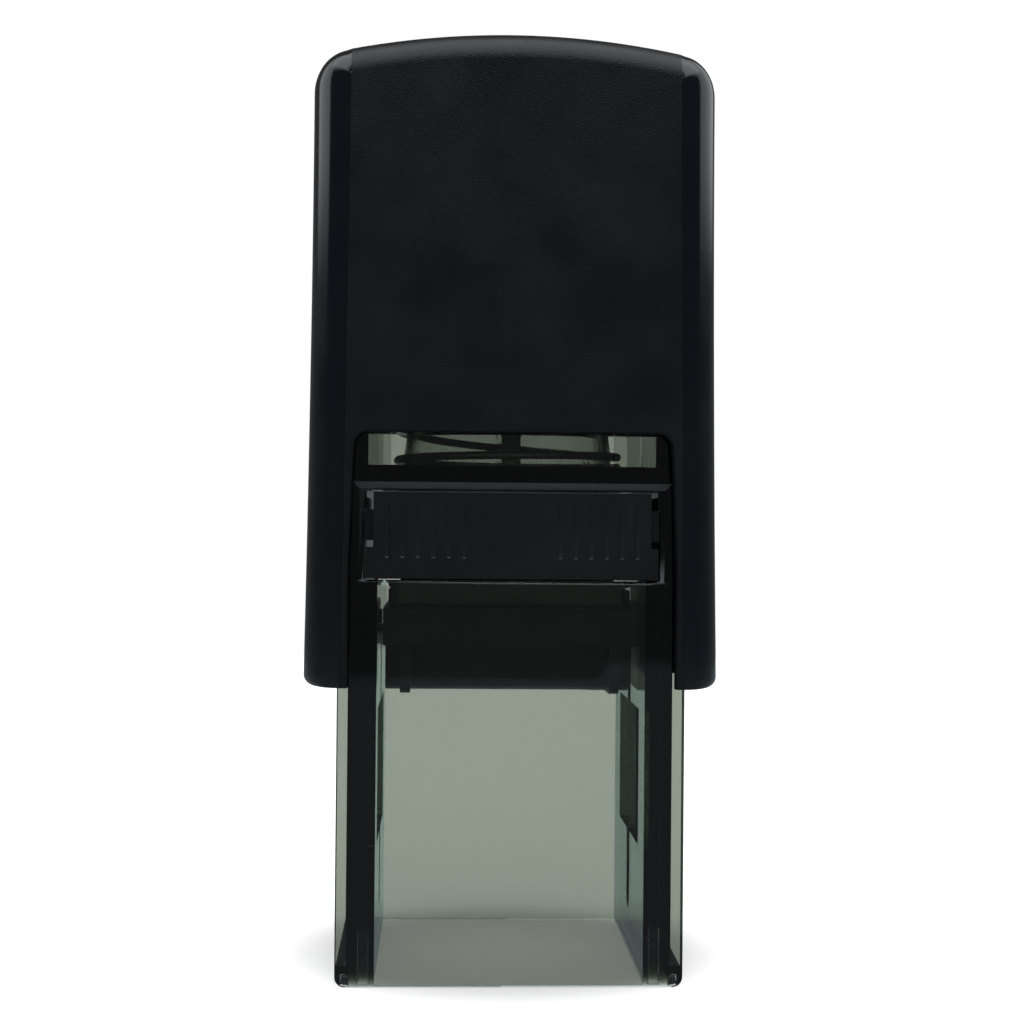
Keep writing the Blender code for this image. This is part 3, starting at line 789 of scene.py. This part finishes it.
def make_spring(materials):
    places = coil_places()
    shape = bmesh.new()
    rings = []
    for index, point in enumerate(places):
        before, after = places[max(index - 1, 0)], places[min(index + 1, len(places) - 1)]
        along = (after - before).normalized()
        outward = Vector((point.x, point.y, 0)).normalized()
        outward = (outward - along * outward.dot(along)).normalized()
        upward = along.cross(outward)
        ring = []
        for step in range(WIRE_SIDES):
            angle = math.tau * step / WIRE_SIDES
            ring.append(shape.verts.new(point + (outward * math.cos(angle) + upward * math.sin(angle)) * WIRE_RADIUS))
        rings.append(ring)
    for first, second in zip(rings, rings[1:]):
        strip(shape, first + first[:1], second + second[:1], 0)
    shape.faces.new(rings[0])
    shape.faces.new(rings[-1])
    bmesh.ops.recalc_face_normals(shape, faces=shape.faces)
    spring = object_from("return_coil", shape)
    spring.data.shade_smooth()
    spring.data.set_sharp_from_angle(angle=math.radians(50))
    finish_piece(spring, "return_coil", "base", "spring_steel", materials["spring"], "return_spring")
    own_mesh(spring)


# ---------------------------------------------------------------- carriage

def raised_box(low, high):
    """A box whose heights are measured from the axle."""
    return box(Vector(low) + Vector((0, 0, AXLE_Z)), Vector(high) + Vector((0, 0, AXLE_Z)))


def along_x(piece, across, along, up):
    """Turn an upright turned helper to lie along X, and move it."""
    return place(piece, Matrix.Translation((across, along, up)) @ Matrix.Rotation(QUARTER, 4, "Y"))


def make_carriage(materials):
    half_x, half_y = CARRIAGE_HALF_X, CARRIAGE_HIGH.y
    outline = [(half_y, PLATFORM_LOW), (half_y, RIM_TOP), (-half_y, RIM_TOP), (-half_y, PLATFORM_LOW)]
    body = prism([(across, up + AXLE_Z) for across, up in outline], -half_x, half_x)
    place(body, Matrix.Rotation(QUARTER, 4, "Z"))
    cut(body, raised_box((-RIM_IN, -RIM_IN, PLATFORM_TOP), (RIM_IN, RIM_IN, RIM_TOP + BEYOND)))
    join(body, hub_block())
    for side in (-1, 1):
        across = sorted((side * RIM_IN, side * (half_x - 0.4 * MM)))
        join(body, raised_box((across[0], -CHEEK_HALF_Y, PLATFORM_TOP - BITE),
                              (across[1], CHEEK_HALF_Y, CHEEK_TOP)))
        join(body, rib(side * RIB_X))
        height = AXLE_Z + (PLATFORM_LOW + PLATFORM_TOP) / 2
        pin = turned([(0, 0), (FOLLOWER_RADIUS, 0), (FOLLOWER_RADIUS, 1.0 * MM), (0, 1.0 * MM)], 40)
        inside = half_x - 0.7 * MM if side == 1 else -half_x - 0.3 * MM
        join(body, along_x(pin, inside, FOLLOWER_Y, height))
    bore = turned([(0, -20 * MM), (AXLE_BORE, -20 * MM), (AXLE_BORE, 20 * MM), (0, 20 * MM)], 48)
    cut(body, along_x(bore, 0, 0, AXLE_Z))
    settle(body)
    soften(body, 0.14 * MM)
    finish_piece(body, "flip_carriage", "carriage", "black_inner_plastic", materials["inner"], "die_carriage")


def hub_block():
    """The block round the axle, with rounded lower edges."""
    round_off = 1.2 * MM
    outline = [(HUB_HALF_Y, BITE), (-HUB_HALF_Y, BITE)]
    outline += arc((round_off - HUB_HALF_Y, HUB_LOW + round_off), round_off, 180, 270, 6)
    outline += arc((HUB_HALF_Y - round_off, HUB_LOW + round_off), round_off, 270, 360, 6)
    block = prism([(across, up + AXLE_Z) for across, up in outline], -HUB_HALF_X, HUB_HALF_X)
    return place(block, Matrix.Rotation(QUARTER, 4, "Z"))


def rib(middle):
    """A rib under the platform, rounded at its lower ends."""
    reach = CARRIAGE_HIGH.y - 0.4 * MM
    round_off = 0.8 * MM
    outline = [(reach, 2 * BITE), (-reach, 2 * BITE)]
    outline += arc((round_off - reach, RIB_LOW + round_off), round_off, 180, 270, 6)
    outline += arc((reach - round_off, RIB_LOW + round_off), round_off, 270, 360, 6)
    shape = prism([(across, up + AXLE_Z) for across, up in outline], middle - RIB_HALF, middle + RIB_HALF)
    return place(shape, Matrix.Rotation(QUARTER, 4, "Z"))


def make_cushion(materials):
    cushion = box(CUSHION_LOW, CUSHION_HIGH)
    soften(cushion, 0.12 * MM)
    finish_piece(cushion, "foam_cushion", "carriage", "adhesive_foam", materials["foam"], "die_cushion")


def make_rubber(materials):
    """The printing rubber: a thin back with a raised border, ring and dot."""
    die = box(DIE_LOW, DIE_HIGH)
    inner = DIE_HIGH.x - BORDER_WIDTH
    back = DIE_HIGH.z - RELIEF
    cut(die, box((-inner, -inner, back), (inner, inner, DIE_HIGH.z + BEYOND)))
    ring = turned([(RING_RADIUS, back - BITE), (RING_RADIUS, DIE_HIGH.z),
                   (RING_RADIUS - RING_WIDTH, DIE_HIGH.z), (RING_RADIUS - RING_WIDTH, back - BITE)], 96)
    dot = turned([(0, back - BITE), (DOT_RADIUS, back - BITE), (DOT_RADIUS, DIE_HIGH.z), (0, DIE_HIGH.z)], 64)
    join(die, ring, dot)
    settle(die)
    soften(die, 0.06 * MM, segments=2)
    finish_piece(die, "printing_rubber", "carriage", "die_rubber", materials["rubber"], "rubber_die")


# ---------------------------------------------------------------- ink cartridge

def make_tray(materials):
    """The cartridge: a tray with a grooved grip, a thumb dent and side tabs."""
    tray = box((-TRAY_HALF_X, GRIP_BACK - BITE, TRAY_LOW.z), (TRAY_HALF_X, TRAY_HIGH.y, TRAY_TOP))
    grip = box((-GRIP_HALF_X, TRAY_LOW.y, GRIP_LOW), (GRIP_HALF_X, GRIP_BACK + BITE, GRIP_TOP))
    skirt = box((-SKIRT_HALF_X, TRAY_LOW.y, GRIP_LOW), (SKIRT_HALF_X, GRIP_BACK, SKIRT_TOP))
    tabs = box((TRAY_LOW.x, TRAY_LOW.y + 0.8 * MM, TAB_LOW), (TRAY_HIGH.x, TAB_BACK, TAB_TOP))
    join(tray, grip, skirt, tabs)
    pocket, room = FELT_POCKET_HALF, TOP_POCKET_HALF
    cut(tray, box((-pocket, -pocket, TRAY_LOW.z - BEYOND), (pocket, pocket, FELT_POCKET_TOP)))
    cut(tray, box((-room, -room, TOP_POCKET_LOW), (room, room, GRIP_TOP + BEYOND)))
    for side in (-1, 1):
        for index in range(GROOVES):
            groove = capsule(GROOVE_RADIUS, GROOVE_LOW, GROOVE_TOP)
            middle = side * (GROOVE_FIRST_X + index * GROOVE_PITCH)
            cut(tray, place(groove, Matrix.Translation((middle, TRAY_LOW.y + GROOVE_DEPTH - GROOVE_RADIUS, 0))))
    cut(tray, thumb_dent())
    settle(tray)
    soften(tray, 0.12 * MM)
    finish_piece(tray, "ink_cartridge", "pad", "black_inner_plastic", materials["tray"], "pad_tray")


def thumb_dent():
    """A shallow dished cutter for the middle of the grip."""
    ball = (DENT_RADIUS ** 2 + DENT_DEPTH ** 2) / (2 * DENT_DEPTH)
    reach = math.degrees(math.asin(DENT_RADIUS / ball))
    profile = arc((0.0, 0.0), ball, 90, 90 - 1.4 * reach, 16)
    profile = [(0.0, ball)] + [point for point in profile if point[0] > 0.01 * MM]
    lowest = profile[-1][1]
    profile.append((0.0, lowest))
    dish = turned(profile[::-1], 64)
    middle = (GRIP_LOW + GRIP_TOP) / 2
    move = Matrix.Translation((0, TRAY_LOW.y + DENT_DEPTH - ball, middle))
    return place(dish, move @ Matrix.Rotation(-QUARTER, 4, "X"))


def make_felt(materials):
    """The inked felt, faintly domed where the die strikes it."""
    shape = bmesh.new()
    bmesh.ops.create_grid(shape, x_segments=40, y_segments=40, size=FELT_HIGH.x)
    for vertex in shape.verts:
        reach = max(abs(vertex.co.x), abs(vertex.co.y)) / FELT_HIGH.x
        vertex.co.z = FELT_LOW.z + 0.25 * MM * ease((reach - 0.9) / 0.1)
    rim = [edge for edge in shape.edges if edge.is_boundary]
    raised = bmesh.ops.extrude_edge_only(shape, edges=rim)["geom"]
    top = [part for part in raised if isinstance(part, bmesh.types.BMVert)]
    for vertex in top:
        vertex.co.z = FELT_HIGH.z
    bmesh.ops.holes_fill(shape, edges=[edge for edge in shape.edges if edge.is_boundary])
    bmesh.ops.recalc_face_normals(shape, faces=shape.faces)
    felt = object_from("felt", shape)
    felt.data.shade_smooth()
    felt.data.set_sharp_from_angle(angle=math.radians(50))
    finish_piece(felt, "inked_felt", "pad", "inked_felt", materials["felt"], "ink_pad")


# ---------------------------------------------------------------- CAD nodes that stay

def dress(node, material, width):
    """Keep a CAD node: merge its flat faces, round its edges and give it a finish."""
    piece = frame["nodes"][node]
    piece.data.materials.clear()
    piece.data.materials.append(material)
    merged = piece.modifiers.new("merged", "DECIMATE")
    merged.decimate_type = "DISSOLVE"
    merged.angle_limit = math.radians(1)
    soften(piece, width)


# ---------------------------------------------------------------- stage

def combine_values(nodes, links, operation, first, second):
    """A Math node over two values, each a socket or a number."""
    node = nodes.new("ShaderNodeMath")
    node.operation = operation
    for socket, value in zip(node.inputs, (first, second)):
        if isinstance(value, (int, float)):
            socket.default_value = value
        else:
            links.new(value, socket)
    return node.outputs["Value"]


def rise(nodes, links, value, low, high):
    """0 below low, 1 above high, smooth between; low above high gives a fall."""
    ramp = nodes.new("ShaderNodeMapRange")
    ramp.interpolation_type = "SMOOTHSTEP"
    ramp.inputs["From Min"].default_value = min(low, high)
    ramp.inputs["From Max"].default_value = max(low, high)
    ramp.inputs["To Min"].default_value = 0.0 if low < high else 1.0
    ramp.inputs["To Max"].default_value = 1.0 if low < high else 0.0
    links.new(value, ramp.inputs["Value"])
    return ramp.outputs["Result"]


def reflection_switch(nodes, links, usual, reflected, output):
    """Show one shader to reflections and the other to everything else, what is seen through the base included."""
    rays = nodes.new("ShaderNodeLightPath")
    choose = nodes.new("ShaderNodeMixShader")
    reflections = rays.outputs["Glossy Depth"]
    links.new(combine_values(nodes, links, "GREATER_THAN", reflections, 0.5), choose.inputs["Fac"])
    links.new(usual, choose.inputs[1])
    links.new(reflected, choose.inputs[2])
    links.new(choose.outputs["Shader"], output.inputs["Surface"])


def make_floor():
    """A white table top with painted light: it glows by itself, less within the base's footprint and more outside it,
    which lightens the contact shadow round the base; in reflections it shows a dim painted glow instead.
    """
    shape = bmesh.new()
    bmesh.ops.create_circle(shape, cap_ends=True, segments=128, radius=FLOOR_RADIUS)
    floor = object_from("floor", shape)
    material, nodes, links, shader = new_material("floor_white")
    shader.inputs["Base Color"].default_value = (0.85, 0.85, 0.85, 1.0)
    shader.inputs["Roughness"].default_value = 0.6
    shader.inputs["Specular IOR Level"].default_value = 0.1
    shader.inputs["Emission Color"].default_value = (1.0, 1.0, 1.0, 1.0)
    place_on = nodes.new("ShaderNodeNewGeometry")
    length = nodes.new("ShaderNodeVectorMath")
    length.operation = "LENGTH"
    links.new(place_on.outputs["Position"], length.inputs[0])
    # Painted light: the floor's own glow, 0.25 within 14 mm of the middle rising to 0.60 beyond 24 mm, lightens the
    # contact shadow round the base.
    glow = nodes.new("ShaderNodeMapRange")
    glow.interpolation_type = "SMOOTHSTEP"
    glow.inputs["From Min"].default_value = 14 * MM
    glow.inputs["From Max"].default_value = 24 * MM
    glow.inputs["To Min"].default_value = 0.25
    glow.inputs["To Max"].default_value = 0.60
    links.new(length.outputs["Value"], glow.inputs["Value"])
    links.new(glow.outputs["Result"], shader.inputs["Emission Strength"])
    # Painted reflection: reflections see the floor as a dim bluish glow of FLOOR_REFLECTED strength, with more glow
    # behind the middle for rays that have passed into the base.
    dim = nodes.new("ShaderNodeEmission")
    dim.inputs["Color"].default_value = (0.80, 0.93, 1.0, 1.0)
    split = nodes.new("ShaderNodeSeparateXYZ")
    links.new(place_on.outputs["Position"], split.inputs["Vector"])
    inside = nodes.new("ShaderNodeLightPath").outputs["Is Transmission Ray"]
    behind = combine_values(nodes, links, "MULTIPLY", rise(nodes, links, split.outputs["Y"], 0.0, 30 * MM), inside)
    strength = combine_values(nodes, links, "MULTIPLY", behind, 1.6 * INSIDE_LIGHT)
    strength = combine_values(nodes, links, "ADD", strength, FLOOR_REFLECTED)
    links.new(strength, dim.inputs["Strength"])
    reflection_switch(nodes, links, shader.outputs["BSDF"], dim.outputs["Emission"], nodes["Material Output"])
    floor.data.materials.append(material)


def studio_light(nodes, links):
    """How bright the room looks in reflections: dim, with a soft wall of light on each side and one overhead."""
    direction = nodes.new("ShaderNodeTexCoord")
    split = nodes.new("ShaderNodeSeparateXYZ")
    links.new(direction.outputs["Generated"], split.inputs["Vector"])
    across, along, up = (split.outputs[axis] for axis in "XYZ")

    def calculate(operation, first, second):
        return combine_values(nodes, links, operation, first, second)

    level = calculate("SQRT", calculate("ADD", calculate("MULTIPLY", across, across),
                                        calculate("MULTIPLY", along, along)), 0)
    back = calculate("DIVIDE", along, level)
    raised = rise(nodes, links, up, 0.12, 0.215)
    overhead = calculate("MULTIPLY", rise(nodes, links, up, 0.38, 0.72), rise(nodes, links, along, 0.36, 0.14))
    total = calculate("MULTIPLY", overhead, TOP_LIGHT)
    for sign, start, end, strength in SIDE_LIGHTS:
        wall = calculate("MULTIPLY", rise(nodes, links, back, start - 0.05, start + 0.05),
                         rise(nodes, links, back, end + 0.05, end - 0.05))
        half = rise(nodes, links, calculate("MULTIPLY", across, sign), 0.0, 0.02)
        wall = calculate("MULTIPLY", calculate("MULTIPLY", wall, half), calculate("MULTIPLY", raised, strength))
        total = calculate("MAXIMUM", total, wall)
    inside = nodes.new("ShaderNodeLightPath").outputs["Is Transmission Ray"]
    behind = calculate("MULTIPLY", rise(nodes, links, along, -0.6, 0.0), INSIDE_LIGHT)
    dim = calculate("ADD", calculate("MULTIPLY", inside, calculate("ADD", behind, INSIDE_DIM)), ROOM_LIGHT)
    return calculate("MAXIMUM", total, dim)


def make_world():
    """White all round for light and for what is seen through the base; a studio in reflections."""
    world = bpy.data.worlds.new("studio")
    bpy.context.scene.world = world
    world.use_nodes = True
    nodes, links = world.node_tree.nodes, world.node_tree.links
    background = nodes["Background"]
    background.inputs["Color"].default_value = (1.0, 1.0, 1.0, 1.0)
    room = nodes.new("ShaderNodeBackground")
    room.inputs["Color"].default_value = (0.93, 0.97, 1.0, 1.0)
    links.new(studio_light(nodes, links), room.inputs["Strength"])
    reflection_switch(nodes, links, background.outputs["Background"], room.outputs["Background"],
                      nodes["World Output"])


def make_camera():
    """The view of the photograph: level, a little left of the middle, and rolled by half a degree."""
    data = bpy.data.cameras.new("camera")
    data.lens = 64.84
    camera = bpy.data.objects.new("camera", data)
    turn = Matrix.Rotation(math.radians(-2.209), 4, "Z") @ Matrix.Rotation(math.radians(90.42), 4, "X")
    roll = Matrix.Rotation(math.radians(0.488), 4, "Z")
    camera.matrix_world = Matrix.Translation((-0.00628, -0.17562, 0.04028)) @ turn @ roll
    bpy.context.scene.collection.objects.link(camera)
    bpy.context.scene.camera = camera
    bpy.context.scene.view_settings.view_transform = "Standard"


def main():
    materials = make_materials()
    make_cap(materials)
    make_base(materials)
    make_spring(materials)
    make_carriage(materials)
    make_cushion(materials)
    make_rubber(materials)
    make_tray(materials)
    make_felt(materials)
    dress("yoke", materials["inner"], 0.2 * MM)
    dress("carriage_axle", materials["axle"], 0.2 * MM)
    make_floor()
    make_world()
    make_camera()


main()
